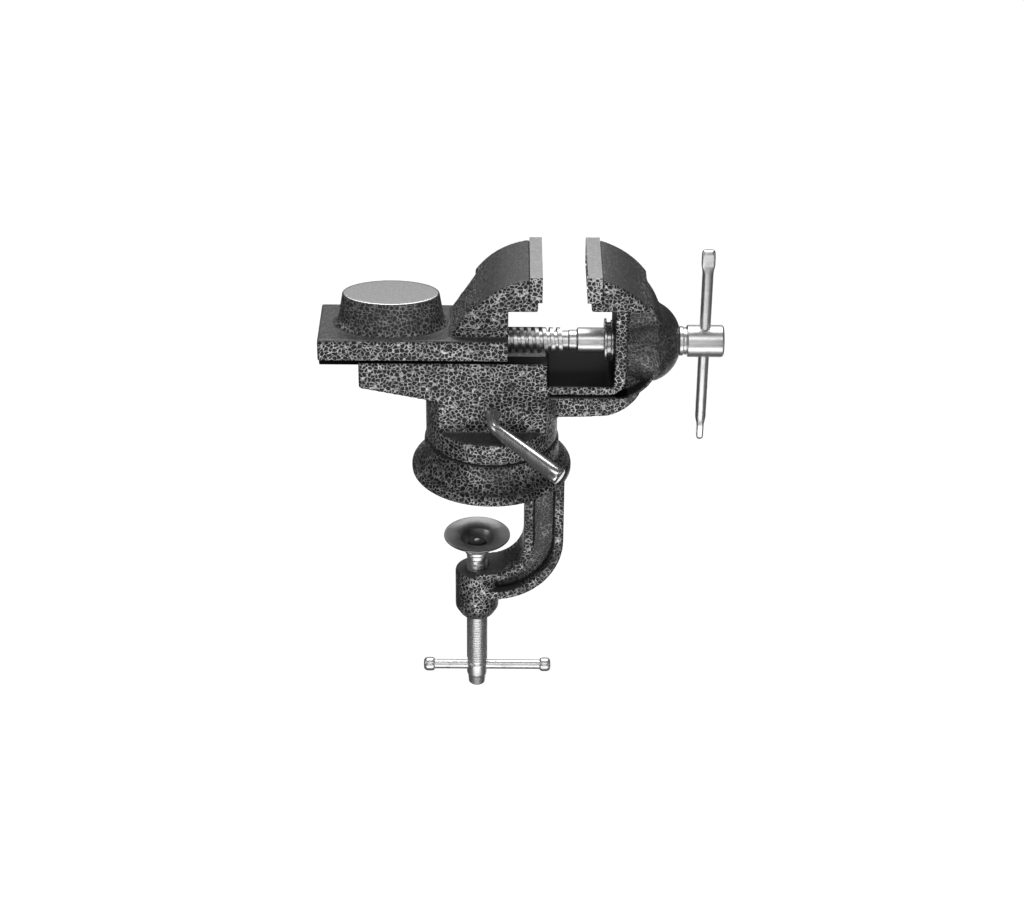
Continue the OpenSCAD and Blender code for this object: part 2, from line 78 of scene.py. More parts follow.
# %% A socket that does arithmetic
class Wire:
    def __init__(self, bench, socket):
        self.bench, self.socket = bench, socket

    def math(self, kind, *terms):
        return self.bench.add("ShaderNodeMath", {"operation": kind}, dict(enumerate(terms)))

    def __add__(self, other): return self.math("ADD", self, other)
    def __sub__(self, other): return self.math("SUBTRACT", self, other)
    def __mul__(self, other): return self.math("MULTIPLY", self, other)
    def __truediv__(self, other): return self.math("DIVIDE", self, other)
    def __rsub__(self, other): return self.math("SUBTRACT", other, self)
    __radd__, __rmul__ = __add__, __mul__

    def least(self, other): return self.math("MINIMUM", self, other)
    def most(self, other): return self.math("MAXIMUM", self, other)
    def of(self, kind): return self.math(kind, self)

    def ramp(self, start, end, low=0.0, high=1.0):
        """Goes smoothly from low to high while this value goes from start to end."""
        return self.bench.add("ShaderNodeMapRange", {"interpolation_type": "SMOOTHSTEP"},
                              {0: self, 1: start, 2: end, 3: low, 4: high})

    def fall(self, start, end):
        """Goes smoothly from 1 to 0 while this value goes from start to end."""
        return self.ramp(start, end, 1.0, 0.0)

    def out(self, name):
        return Wire(self.bench, self.socket.node.outputs[name])


class Bench:
    """One node tree, with the method that adds any node to it."""
    def __init__(self, tree):
        self.tree = tree

    def add(self, kind, settings=None, sockets=None, out=0):
        node = self.tree.nodes.new(kind)
        for name, value in (settings or {}).items():
            setattr(node, name, value)
        for name, value in (sockets or {}).items():
            if isinstance(value, Wire):
                self.tree.links.new(value.socket, node.inputs[name])
            else:
                node.inputs[name].default_value = value
        return Wire(self, node.outputs[out]) if node.outputs else node

    def vector(self, kind, a, b):
        return self.add("ShaderNodeVectorMath", {"operation": kind}, {0: a, 1: b})

    def blend(self, amount, low, high):
        """A colour between two others; amount is a Wire."""
        return self.add("ShaderNodeMix", {"data_type": "RGBA"}, {0: amount, 6: low, 7: high}, 2)


def grey(level, warmth=0.0):
    return (level * (1 + warmth), level, level * (1 - warmth), 1.0)


# %% [markdown]
# ## The helper for finishes
# Each finish is one Principled shader. Its patterns read Object coordinates, because every
# finished piece sits at the origin with its place in its mesh, so the same millimetres
# hold on all of them. Numbers that are the same all over go on the shader's own sockets.

# %% Make a material
class Finish(Bench):
    def __init__(self, name):
        self.material = bpy.data.materials.new(name)
        self.material.use_nodes = True
        super().__init__(self.material.node_tree)
        self.tree.nodes.clear()
        self.place = self.add("ShaderNodeTexCoord", out="Object")
        self.facing = self.place.out("Normal")

    def noise(self, scale, detail=3.0, roughness=0.55, place=None):
        """Grain of about 1/scale metres; its first output runs from 0 to 1."""
        return self.add("ShaderNodeTexNoise", None, {
            "Vector": place or self.place, "Scale": scale, "Detail": detail, "Roughness": roughness})

    def beads(self):
        """Distance to the edge of irregular cells about 2 mm across."""
        push = self.vector("MULTIPLY", self.noise(300.0, 2.0).out("Color"), (1.7 * mm,) * 3)
        return self.add("ShaderNodeTexVoronoi", {"feature": "DISTANCE_TO_EDGE"},
                        {"Vector": self.vector("ADD", self.place, push), "Scale": 455.0})

    def stretched(self, sizes):
        """Object coordinates squeezed along each axis, which draws a pattern out into lines."""
        return self.vector("MULTIPLY", self.place, sizes)

    def axis(self, letter, of=None):
        return self.add("ShaderNodeSeparateXYZ", None, {0: of or self.place}, letter)

    def bump(self, height, depth):
        return self.add("ShaderNodeBump", None, {"Strength": 1.0, "Distance": depth, "Height": height})

    def done(self, **sockets):
        shader = self.add("ShaderNodeBsdfPrincipled", None,
                          {name.replace("_", " "): value for name, value in sockets.items()})
        self.add("ShaderNodeOutputMaterial", None, {"Surface": shader})
        print("finish made:", self.material.name, "with", len(self.tree.nodes), "nodes")
        return self.material


# %% [markdown]
# ## Hammered enamel
# The castings are painted with an enamel that draws together into dark beads while
# aluminium flake gathers in the gaps, which leaves a silvery net about 2 mm across. On the
# upright faces the net stands out; on faces that look up the net is faded and the colour
# turned to a nearly even dark grey, painted shading for how the light falls on the tops.
# A Voronoi pattern has exactly that layout: its distance to the cell edge is the bead, and a
# noise that bends its coordinates first keeps the cells from looking like a honeycomb. Each
# casting also brings a mask of places that lie in shade, as the web of the clamp's arm,
# where the net is painted faded and darker: painted shade. Further masks paint the bare ways
# and dovetail near black, partly as oiled iron and partly as painted shade, paint the trough
# and the slot below it near black as painted shade and a painted shadow line, and uncover
# the face that was ground after painting.

# %% Hammered enamel, with places left bare for the grinder
# The third grey is painted shading: the plainer colour given to upward faces and to shaded places.
flake, bead_dark, painted_shading_grey = grey(0.84), grey(0.006), grey(0.075)


def ground_grain(finish, sizes):
    """Fine scratches left by the grinding wheel, drawn out along one axis."""
    return finish.noise(1.0, 4.0, 0.65, finish.stretched(sizes))


def hammered_enamel(name, painted_shade, level_from=0.42, blotch=0.15, oiled=None, bare=None):
    """Enamel whose net fades as a face turns up past level_from, painted shading for the light on tops, and
    in blotches.
    """
    f = Finish(name)
    bead = f.beads()
    patches = f.noise(120.0, 3.0).ramp(0.38, 0.62)
    width = 0.05 + f.noise(520.0, 2.0).ramp(0.3, 0.7) * 0.16
    net = 1 - (bead / width).ramp(0.15, 1.0)
    net = net * f.noise(800.0, 3.0).ramp(0.3, 0.62, 0.35, 1.0)
    # Painted shading: faces that turn up lose most of the net and take a plainer grey, standing in for how
    # the light falls on tops.
    level_at = 0.6 + level_from / 2
    upward = f.axis("Z", f.facing).ramp(level_from, level_at)
    # Painted shade: each casting's mask of shaded places fades the net and darkens the enamel there.
    shaded_places = painted_shade(f)
    strength = (1 - upward * 0.90) * (0.66 + patches * 0.34) * (1 - shaded_places * 0.70)
    strength = strength * (1 - f.noise(62.0, 2.0).ramp(0.40, 0.60) * blotch)
    colour = f.blend(net * strength, f.blend(upward.most(shaded_places), bead_dark, painted_shading_grey), flake)
    gloss = f.noise(700.0, 3.0).ramp(0.3, 0.7, 0.38, 0.52)
    metal = (net * strength * 0.8).most(shaded_places * 0.75).most(upward * 0.25)
    height = bead.ramp(0.0, 0.30) * (1 - upward * 0.7)
    # Oiled bare iron and painted shade: this mask turns the colour near black and glossier and smooths the
    # beads away.
    if oiled:
        oil_and_shade = oiled(f)
        colour = f.blend(oil_and_shade, colour, grey(0.004))
        gloss = gloss * (1 - oil_and_shade) + oil_and_shade * 0.72
        metal = metal * (1 - oil_and_shade) + oil_and_shade * 0.6
        height = height * (1 - oil_and_shade)
    if bare:
        mask = bare(f)
        scratches = ground_grain(f, (420.0, 9000.0, 420.0))
        colour = f.blend(mask, colour, f.blend(scratches, grey(0.42), grey(0.60)))
        metal = metal * (1 - mask) + mask
        gloss = gloss * (1 - mask) + mask * (0.20 + scratches * 0.12)
        height = height * (1 - mask) + mask * scratches * 0.06 + mask * 0.3
    return f.done(Base_Color=colour, Metallic=metal, Roughness=gloss, Coat_Weight=0.08,
                  Coat_Roughness=0.2, Specular_IOR_Level=0.3, Normal=f.bump(height, 0.16 * mm))


# %% Painted shade, oiled and shaded ways, and ground places of each casting
anvil_top = frame["record"]["mounts"][1]["pos_m"][2]
block_top, slide_bottom = 76.3 * mm, 77.4 * mm
trough_start, trough_end, trough_floor, throat_top = 30.0 * mm, 65.6 * mm, 62.5 * mm, 108.0 * mm
slot_low, slot_high = 55.5 * mm, 57.0 * mm
arm_top, hub_start, anvil_end, anvil_low = -2 * mm, 71 * mm, -19 * mm, 91 * mm


def base_painted_shade(f):
    """Painted shade on the web between the clamp arm's two flanges."""
    beside = f.axis("Y").of("ABSOLUTE").fall(6 * mm, 9 * mm)
    return f.axis("Z").fall(arm_top - 4 * mm, arm_top) * beside


def body_painted_shade(f):
    """Painted shade on the rear hub and the web round it."""
    below = f.axis("Z").fall(throat_top - 4 * mm, throat_top)
    return f.axis("X").ramp(hub_start, hub_start + 3 * mm) * below


def slide_painted_shade(f):
    """Painted shade on the anvil's sides."""
    high = f.axis("Z").ramp(anvil_low, anvil_low + 2 * mm)
    return f.axis("X").fall(anvil_end - 8 * mm, anvil_end - 5 * mm) * high * 0.7


def anvil_face_mask(f):
    """The oval face that was ground bright after painting."""
    high = f.axis("Z").ramp(anvil_top - 0.16 * mm, anvil_top - 0.08 * mm)
    return high * f.axis("X").fall(anvil_end - 1 * mm, anvil_end)


def body_oil_and_shade_mask(f):
    """The body's ways as bare iron dark with oil and painted shade, its trough near black as painted shade,
    and the slot below it as a painted shadow line.
    """
    x, z = f.axis("X"), f.axis("Z")
    ways = (z.ramp(block_top - 0.5 * mm, block_top - 0.3 * mm)
            * x.fall(trough_start, trough_start + 0.2 * mm))
    # The trough painted near black: painted shade.
    inside = (x.ramp(trough_start - 0.6 * mm, trough_start - 0.3 * mm)
              * x.fall(trough_end, trough_end + 0.2 * mm)
              * z.ramp(trough_floor - 0.3 * mm, trough_floor)
              * z.fall(throat_top, throat_top + 0.2 * mm))
    # The slot below the trough painted near black: a painted shadow line.
    slot = (z.ramp(slot_low - 0.3 * mm, slot_low) * z.fall(slot_high, slot_high + 0.3 * mm)
            * x.ramp(31 * mm, 32 * mm) * x.fall(72 * mm, 76 * mm))
    return ways.most(inside).most(slot)


def slide_oil_and_shade_mask(f):
    """The dovetail below the slide's painted sides, bare oiled iron darkened further as painted shade."""
    return f.axis("Z").fall(slide_bottom - 0.5 * mm, slide_bottom - 0.3 * mm)


base_enamel = hammered_enamel("hammered enamel on the base", base_painted_shade, level_from=0.78, blotch=0.6)
# The oiled masks are partly oiled iron and partly painted shade and painted shadow.
body_enamel = hammered_enamel("hammered enamel on the body", body_painted_shade, oiled=body_oil_and_shade_mask)
slide_enamel = hammered_enamel("hammered enamel on the slide", slide_painted_shade,
                               oiled=slide_oil_and_shade_mask, bare=anvil_face_mask)

# %% [markdown]
# ## Bare steel
# The screws and bars came off a lathe, so their grooves run round them: the noise is
# squeezed along the axis into rings. The jaw plates came off a surface grinder with
# straight scratches, and their ends were painted together with the jaws. The pressed pad
# has turning rings about its own axis. Spring steel and small screws are duller and darker.

# %% Turned, ground, zinc-plated and spring steel
def turned_steel(name, along, level=0.80, dull=0.26, lines=3200.0):
    """Bright steel with grooves round one axis; level is its brightness."""
    f = Finish(name)
    sizes = [40.0, 40.0, 40.0]
    sizes["XYZ".index(along)] = lines
    rings = f.noise(1.0, 2.0, 0.6, f.stretched(tuple(sizes)))
    smears = f.noise(170.0, 3.0)
    stain = smears.ramp(0.55, 0.8)
    clean = f.blend(rings, grey(level * 0.88), grey(level * 1.08))
    colour = f.blend(stain, clean, grey(level * 0.72, 0.015))
    rough = dull + rings * 0.14 + smears * 0.06
    return f.done(Base_Color=colour, Metallic=1.0, Roughness=rough,
                  Normal=f.bump(rings, 0.006 * mm))


def ground_plate(name, half_width):
    """Ground steel whose two ends are painted."""
    f = Finish(name)
    scratches = ground_grain(f, (420.0, 420.0, 9000.0))
    painted = f.axis("Y").of("ABSOLUTE").ramp(half_width - 0.30 * mm, half_width - 0.18 * mm)
    bead = f.beads()
    net = 1 - bead.ramp(0.02, 0.15)
    steel = f.blend(scratches, grey(0.46), grey(0.66))
    colour = f.blend(painted, steel, f.blend(net * 0.8, bead_dark, flake))
    metal = 1 - painted * (1 - net * 0.6)
    rough = 0.20 + scratches * 0.10 + painted * 0.22
    return f.done(Base_Color=colour, Metallic=metal, Roughness=rough,
                  Normal=f.bump(scratches * 0.2 + painted * bead, 0.08 * mm))


def dull_steel(name, level, dull):
    """Plated or oiled steel with a fine mottle."""
    f = Finish(name)
    mottle = f.noise(900.0, 4.0)
    colour = f.blend(mottle, grey(level * 0.8), grey(level * 1.15))
    rough = mottle.ramp(0.3, 0.7, dull - 0.06, dull + 0.08)
    return f.done(Base_Color=colour, Metallic=0.9, Roughness=rough, Normal=f.bump(mottle, 0.02 * mm))


clamp_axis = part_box("clamp_pad")[0].lerp(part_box("clamp_pad")[1], 0.5)


def pressed_pad(name):
    """Satin steel with rings about the clamp's axis."""
    f = Finish(name)
    flat = f.vector("MULTIPLY", f.vector("SUBTRACT", f.place, tuple(clamp_axis)), (1.0, 1.0, 0.0))
    out = f.add("ShaderNodeVectorMath", {"operation": "LENGTH"}, {0: flat}, "Value")
    rings = f.add("ShaderNodeTexNoise", {"noise_dimensions": "1D"},
                  {"W": out * 2600.0, "Scale": 1.0, "Detail": 3.0})
    mottle = f.noise(260.0, 3.0)
    colour = f.blend(rings * 0.6 + mottle * 0.4, grey(0.22), grey(0.50))
    return f.done(Base_Color=colour, Metallic=1.0, Roughness=0.26 + rings * 0.2,
                  Normal=f.bump(rings, 0.03 * mm))


steel_along_x = turned_steel("turned steel, rings along x", "X")
steel_along_z = turned_steel("turned steel, rings along z", "Z")
bar_steel = turned_steel("drawn bar steel", "Z", 0.80, 0.24, 900.0)
plate_steel = ground_plate("ground jaw plate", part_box("fixed_jaw_plate")[1].y)
zinc = dull_steel("dull zinc", 0.42, 0.42)
spring = dull_steel("oiled spring steel", 0.52, 0.26)
pad_steel = pressed_pad("pressed pad steel")
dark_rivet = dull_steel("oily rivet", 0.07, 0.45)

# %% [markdown]
# ## Helpers for shapes
# Nearly every steel part is a row of rings joined by a skin: a lathe turns them, a press
# flattens them, a bender leads them round a corner. One function skins a row of rings and
# closes its ends, and the turned, flattened and bent parts differ only in their rings.

# %% Rings and skins
def ring(centre, side, up, a, b=None, power=2.0, count=48):
    """A closed ring of points: round at power 2, squarer above it."""
    b = a if b is None else b
    points = []
    for i in range(count):
        c, s = math.cos(math.tau * i / count), math.sin(math.tau * i / count)
        points.append(centre + side * (a * math.copysign(abs(c) ** (2 / power), c))
                      + up * (b * math.copysign(abs(s) ** (2 / power), s)))
    return points


def skin(rings):
    """One closed mesh over a row of rings."""
    bm = bmesh.new()
    rows = [[bm.verts.new(p) for p in r] for r in rings]
    count = len(rows[0])
    for low, high in zip(rows, rows[1:]):
        for i in range(count):
            bm.faces.new((low[i], low[(i + 1) % count], high[(i + 1) % count], high[i]))
    for row, points in ((rows[0], rings[0]), (rows[-1], rings[-1])):
        tip = bm.verts.new(sum(points, Vector()) / count)
        for i in range(count):
            bm.faces.new((row[i], row[(i + 1) % count], tip))
    bmesh.ops.recalc_face_normals(bm, faces=bm.faces)
    return finished(bm)


def finished(bm):
    mesh = bpy.data.meshes.new("made")
    bm.to_mesh(mesh)
    bm.free()
    return mesh


def rounded(profile, radius, steps=4):
    """The profile's inner corners, each eased by a short arc-like curve."""
    points = [Vector((*profile[0], 0))]
    for before, here, after in zip(profile, profile[1:], profile[2:]):
        a, b, c = (Vector((*p, 0)) for p in (before, here, after))
        cut_a = min(radius, (a - b).length * 0.45)
        cut_c = min(radius, (c - b).length * 0.45)
        start, end = b + (a - b).normalized() * cut_a, b + (c - b).normalized() * cut_c
        for i in range(steps + 1):
            t = i / steps
            points.append(start * (1 - t) ** 2 + b * (2 * t * (1 - t)) + end * t ** 2)
    points.append(Vector((*profile[-1], 0)))
    return [(p.x, p.y) for p in points]


def lathe(profile, centre, along, easing=0.0, count=64):
    """A turned solid from (station, radius) pairs in mm about an axis."""
    side = along.orthogonal().normalized()
    up = along.cross(side)
    stations = rounded(profile, easing) if easing else profile
    return skin([ring(centre + along * (s * mm), side, up, max(r, 0.01) * mm, count=count)
                 for s, r in stations])


def piece(name, parts, body, slot, *nodes, crease=32):
    """Joins (mesh, material) pairs into one object and puts it on its body."""
    bm = bmesh.new()
    mesh = bpy.data.meshes.new(name)
    for index, (part, material) in enumerate(parts):
        first = len(bm.faces)
        bm.from_mesh(part)
        bm.faces.ensure_lookup_table()
        for face in bm.faces[first:]:
            face.material_index = index
        mesh.materials.append(material)
        bpy.data.meshes.remove(part)
    bm.to_mesh(mesh)
    bm.free()
    mesh.shade_smooth()
    if crease:
        mesh.set_sharp_from_angle(angle=math.radians(crease))
    made = bpy.data.objects.new(name, mesh)
    bpy.context.scene.collection.objects.link(made)
    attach(made, body)
    if nodes:
        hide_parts(*nodes)
    print(name, "has", sum(len(p.vertices) - 2 for p in mesh.polygons), "triangles")


def cad_copy(node):
    """A merged copy of a CAD node's loose triangles."""
    bm = bmesh.new()
    bm.from_mesh(frame["nodes"][node].data)
    bmesh.ops.remove_doubles(bm, verts=bm.verts, dist=1e-6)
    return bm


def evaluated(mesh, *modifiers):
    """The mesh after a row of (kind, settings) modifiers."""
    blank = bpy.data.objects.new("blank", mesh)
    bpy.context.scene.collection.objects.link(blank)
    for kind, settings in modifiers:
        modifier = blank.modifiers.new(kind, kind)
        for name, value in settings.items():
            setattr(modifier, name, value)
    return harvest(blank)


def harvest(blank):
    """A plain mesh of what an object's modifiers make of it; the object goes."""
    shape = blank.evaluated_get(bpy.context.evaluated_depsgraph_get())
    made = bpy.data.meshes.new_from_object(shape)
    made.materials.clear()
    bpy.data.objects.remove(blank)
    return made


# %% [markdown]
# ## The castings
# Sand castings have no sharp edges: each corner has a small radius and each inside corner
# a fillet, and thick paint softens them further. The CAD solids have the right shapes but
# knife edges. A bevel trips over so many crossing curves, so the solids are rebuilt on a
# fine voxel grid and then relaxed, which rounds edges and fills corners alike, as sand and
# paint do. The body is the largest casting, so its grid is a little coarser than the others.


def casting(node, material, grain):
    """Rebuilds a casting on a grid of grain mm; its body has the node's name."""
    cell = grain * mm
    relaxed = evaluated(finished(cad_copy(node)), ("REMESH", {"mode": "VOXEL", "voxel_size": cell}),
                        ("SMOOTH", {"factor": 0.5, "iterations": 5}))
    piece(node + "_casting", [(relaxed, material)], node, "hammered_enamel", node, crease=0)


casting("swivel_base", base_enamel, 0.7)
casting("vise_body", body_enamel, 0.84)
casting("sliding_jaw", slide_enamel, 0.7)

# %% [markdown]
# ## Small steel parts
# The jaw plates, their screws, the clip and the washers have the right shapes in the CAD.
# Real ones have broken edges that catch the light, so each is copied, its flat faces are
# joined up again, and a narrow bevel goes round every sharp edge.

# %% Break the edges
def broken_edges(node, width):
    bm = cad_copy(node)
    bmesh.ops.dissolve_limit(bm, angle_limit=math.radians(1.0), verts=bm.verts, edges=bm.edges)
    return evaluated(finished(bm), ("BEVEL", {"width": width * mm, "segments": 2, "limit_method": "ANGLE",
                                              "angle_limit": math.radians(40), "use_clamp_overlap": True}))


for node, body, material, slot, width in (
        ("fixed_jaw_plate", "vise_body", plate_steel, "ground_steel", 0.35),
        ("sliding_jaw_plate", "sliding_jaw", plate_steel, "ground_steel", 0.35),
        ("fixed_jaw_plate_screws", "vise_body", zinc, "plate_screw_steel", 0.15),
        ("sliding_jaw_plate_screws", "sliding_jaw", zinc, "plate_screw_steel", 0.15),
        ("retaining_clip", "lead_screw", spring, "spring_steel", 0.12),
        ("spring_washer", "lead_screw", spring, "spring_steel", 0.15),
        ("thrust_washer", "lead_screw", spring, "spring_steel", 0.2),
        ("clamp_pad_washer", "clamp_thrust_ring", steel_along_z, "turned_steel", 0.2),
        ("lock_shoe", "lock_shoe", steel_along_z, "turned_steel", 0.2)):
    piece(node + "_finished", [(broken_edges(node, width), material)], body, slot, node, crease=20)

# %% [markdown]
# ## Threads
# A thread is one ridge wound round a core. It could be cut turn by turn, but one rule
# describes it: along a strip, the angle and the height grow together. A Geometry Nodes
# grid holds the strip, and arithmetic on its coordinates winds it up. Across, its five
# columns are the ridge's four corners and the first corner again, so the tube closes; near
# the two ends the crest sinks to the core, as a real thread runs out.

# %% The tree that winds a ridge
def ridge_tree():
    tree = bpy.data.node_groups.new("wound ridge", "GeometryNodeTree")
    tree.is_modifier = True
    tree.interface.new_socket("Ridge", in_out="OUTPUT", socket_type="NodeSocketGeometry")
    for name, kind in (("Turns", "Float"), ("Pitch", "Float"), ("Core radius", "Float"),
                       ("Depth", "Float"), ("Foot width", "Float"), ("Crest width", "Float"),
                       ("Steps in a turn", "Int"), ("Run-out turns", "Float"), ("Metal", "Material")):
        tree.interface.new_socket(name, in_out="INPUT", socket_type="NodeSocket" + kind)
    g = Bench(tree)
    given = g.add("NodeGroupInput")
    turns, pitch, core = given, given.out("Pitch"), given.out("Core radius")
    stations = turns * given.out("Steps in a turn") + 1
    strip = g.add("GeometryNodeMeshGrid", None, {"Size X": 1.0, "Size Y": 1.0,
                                                 "Vertices X": stations, "Vertices Y": 5})
    spot = g.add("GeometryNodeInputPosition")
    along = g.add("ShaderNodeSeparateXYZ", None, {0: spot}, "X") + 0.5
    across = g.add("ShaderNodeSeparateXYZ", None, {0: spot}, "Y") + 0.5
    second, third, fourth = (across.math("COMPARE", across, place, 0.05) for place in (0.25, 0.5, 0.75))
    crest = second + third
    flank = (third + fourth) * 2 - 1
    wound = along * turns
    run_out = given.out("Run-out turns")
    rise = (wound / run_out).least((turns - wound) / run_out).least(1.0)
    radius = core + crest * given.out("Depth") * rise
    half = (given.out("Foot width") * (1 - crest) + given.out("Crest width") * crest) * 0.5
    angle = wound * math.tau
    placed = g.add("ShaderNodeCombineXYZ", None, {
        0: radius * angle.of("COSINE"), 1: radius * angle.of("SINE"),
        2: wound * pitch + flank * half})
    bent = g.add("GeometryNodeSetPosition", None, {"Geometry": strip, "Position": placed})
    welded = g.add("GeometryNodeMergeByDistance", None, {"Geometry": bent, "Distance": 0.002 * mm})
    whole = g.add("GeometryNodeRealizeInstances", None, {0: welded})
    clad = g.add("GeometryNodeSetMaterial", None, {"Geometry": whole, "Material": given.out("Metal")})
    g.add("NodeGroupOutput", None, {0: clad})
    return tree


winder = ridge_tree()


def wound_ridge(place, **sizes):
    """A ridge from the tree, moved to its screw; sizes are in mm where they are lengths."""
    blank = bpy.data.objects.new("blank", bpy.data.meshes.new("blank"))
    bpy.context.scene.collection.objects.link(blank)
    modifier = blank.modifiers.new("ridge", "NODES")
    modifier.node_group = winder
    for item in winder.interface.items_tree:
        if item.in_out == "INPUT":
            modifier[item.identifier] = sizes[item.name.replace(" ", "_").replace("-", "_")]
    made = harvest(blank)
    bm = bmesh.new()
    bm.from_mesh(made)
    bmesh.ops.remove_doubles(bm, verts=bm.verts, dist=1e-7)
    bmesh.ops.recalc_face_normals(bm, faces=bm.faces)
    bmesh.ops.transform(bm, matrix=place, verts=bm.verts)
    bpy.data.meshes.remove(made)
    print("ridge of", len(bm.faces), "faces")
    return finished(bm)


# %% [markdown]
# ## The main screw
# A 14 mm bar with a coarse right-hand thread, a relief after the last turn, a plain shank
# with a groove for the clip, a short neck and the wide head that the handle slides
# through. The core is turned; the thread is the wound ridge laid along its axis.

# %% Turn the main screw
screw_axis = Vector((0, 0, 79.2 * mm))
thread_start, thread_end, pitch = -50.0, 41.0, 4.0
thread_root = 5.1
core = lathe([(thread_start - 1, 0.0), (thread_start - 1, thread_root - 0.5), (thread_start, thread_root),
              (thread_end, thread_root), (41.6, 5.7), (45.4, 5.7), (45.8, 6.1), (46.2, 7.0), (60.4, 7.0),
              (60.4, 6.1), (61.6, 6.1), (61.6, 7.0), (100.9, 7.0), (100.9, 8.0), (102.9, 8.0), (103.1, 7.4),
              (104.5, 7.4), (104.9, 8.0), (105.3, 8.75), (124.0, 8.75), (124.8, 7.9), (124.8, 0.0)],
             screw_axis, X, easing=0.35)
quarter_turn = Matrix.Rotation(math.pi / 2, 4, "Y")
lay_along_x = Matrix.Translation(screw_axis + X * (thread_start * mm)) @ quarter_turn
turns = (thread_end - thread_start - 1) / pitch
thread = wound_ridge(lay_along_x, Turns=turns, Pitch=pitch * mm, Core_radius=(thread_root - 0.1) * mm,
                     Depth=2.0 * mm, Foot_width=2.7 * mm, Crest_width=1.8 * mm, Steps_in_a_turn=40,
                     Run_out_turns=0.6, Metal=steel_along_x)
piece("main_screw", [(core, steel_along_x), (thread, steel_along_x)], "lead_screw",
      "turned_steel", "lead_screw")

# %% [markdown]
# ## The sliding handle
# A plain bar in the screw's head. Its two ends were flattened in a press after assembly so
# that it can't fall out, which spreads them a little wider than the bar. Rings that change
# from round to a squarer, flatter outline give that shape.

# %% Press the handle's ends
handle_low, handle_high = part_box("lead_screw_handle")
bar_x, bar_r = 114.5, 3.0
flat_w, flat_t = 3.65, 2.0


def pressed_rings(tip, inward, spread_along_x):
    """Rings from one tip of the bar to where it is round again."""
    shape = [(0.0, 2.2, 1.1, 2.6), (0.35, 2.9, 1.6, 3.0), (1.1, 3.4, 1.9, 4.0),
             (2.4, flat_w, flat_t, 4.6), (8.5, flat_w, flat_t, 4.6), (9.8, 3.5, 2.15, 3.6),
             (11.4, 3.2, 2.6, 2.6), (13.4, bar_r, bar_r, 2.0)]
    rings = []
    for s, wide, thin, power in shape:
        a, b = (wide, thin) if spread_along_x else (thin, wide)
        rings.append(ring(Vector((bar_x * mm, 0, tip + inward * s * mm)), X, Y, a * mm, b * mm, power))
    return rings


bottom = pressed_rings(handle_low.z, 1, False)
top = pressed_rings(handle_high.z, -1, True)
piece("sliding_handle", [(skin(bottom + top[::-1]), bar_steel)], "lead_screw_handle", "turned_steel",
      "lead_screw_handle", crease=40)

# %% [markdown]
# ## The bench clamp
# A 12 mm screw with a fine thread runs up through the boss and carries a dished pad on a
# riveted tip. Its lower end is turned down a little, and its own small bar has a rounded
# knob at each end. All of them are lathe work, so each is a short profile.

# %% Turn the clamp screw, its bar and knobs
clamp_centre = Vector((clamp_axis.x, clamp_axis.y, 0))
clamp_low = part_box("clamp_screw")[0].z / mm
fine_pitch, fine_start, fine_end = 1.75, -131.5, -61.0
fine_root = 4.95
clamp_core = lathe([(clamp_low, 0.0), (clamp_low, 4.2), (clamp_low + 0.8, 4.9), (clamp_low + 6.0, 5.3),
                    (clamp_low + 7.0, 5.9), (fine_start - 0.8, 5.9), (fine_start, fine_root),
                    (fine_end + 0.6, fine_root), (fine_end + 1.5, 5.9), (-57.2, 5.9), (-56.3, 5.0),
                    (-56.3, 3.0), (-49.9, 3.0), (-49.9, 0.0)], clamp_centre, Z, easing=0.25)
rivet = lathe([(-50.1, 0.0), (-50.1, 5.2), (-49.5, 5.2), (-48.9, 4.2), (-48.7, 2.4), (-48.7, 0.0)],
              clamp_centre, Z, easing=0.3)
stud = lathe([(-48.9, 0.0), (-48.9, 1.7), (-48.4, 1.6), (-48.15, 1.0), (-48.1, 0.0)],
             clamp_centre, Z, easing=0.2)
stand_up = Matrix.Translation(clamp_centre + Z * ((fine_start + 0.4) * mm))
fine_turns = (fine_end - fine_start - 0.8) / fine_pitch
clamp_thread = wound_ridge(stand_up, Turns=fine_turns, Pitch=fine_pitch * mm,
                           Core_radius=(fine_root - 0.1) * mm, Depth=1.12 * mm,
                           Foot_width=1.62 * mm, Crest_width=0.3 * mm, Steps_in_a_turn=32,
                           Run_out_turns=0.8, Metal=steel_along_z)
piece("clamp_screw_turned", [(clamp_core, steel_along_z), (clamp_thread, steel_along_z),
                             (rivet, dark_rivet), (stud, bar_steel)],
      "clamp_screw", "turned_steel", "clamp_screw")

clamp_bar = Vector((0, 0, -134.5 * mm))
bar_left, bar_right = -35.5, 31.4
bar = lathe([(bar_left, 0.0), (bar_left, 2.75), (bar_right, 2.75), (bar_right, 0.0)], clamp_bar, X)
knob_profile = [(-3.0, 0.0), (-3.0, 3.0), (-2.5, 3.7), (-1.3, 4.0), (1.5, 4.0), (2.9, 3.4),
                (3.5, 2.2), (3.5, 0.0)]
knobs = []
for end, way in ((bar_right, 1), (bar_left, -1)):
    profile = [(end + way * s, r) for s, r in knob_profile][::way]
    knobs.append((lathe(profile, clamp_bar, X, easing=0.7), steel_along_x))
piece("clamp_bar", [(bar, steel_along_x)], "clamp_handle", "turned_steel", "clamp_handle")
piece("clamp_bar_knobs", knobs, "clamp_handle", "turned_steel", "clamp_handle_knobs")

# %% [markdown]
# ## The clamp pad
# A saucer pressed from sheet, with a thin rim. It swivels on the clamp screw's tip. A
# closed ring of profile points turned about the axis gives both its faces.

# %% Press the pad
pad_seat = -40.0


def dish(radius, start, end, steps=14):
    """Points of an arc about the seat's centre, as (station, radius)."""
    turns = [math.radians(start + (end - start) * i / steps) for i in range(steps + 1)]
    return [(pad_seat - radius * math.cos(t), radius * math.sin(t)) for t in turns]


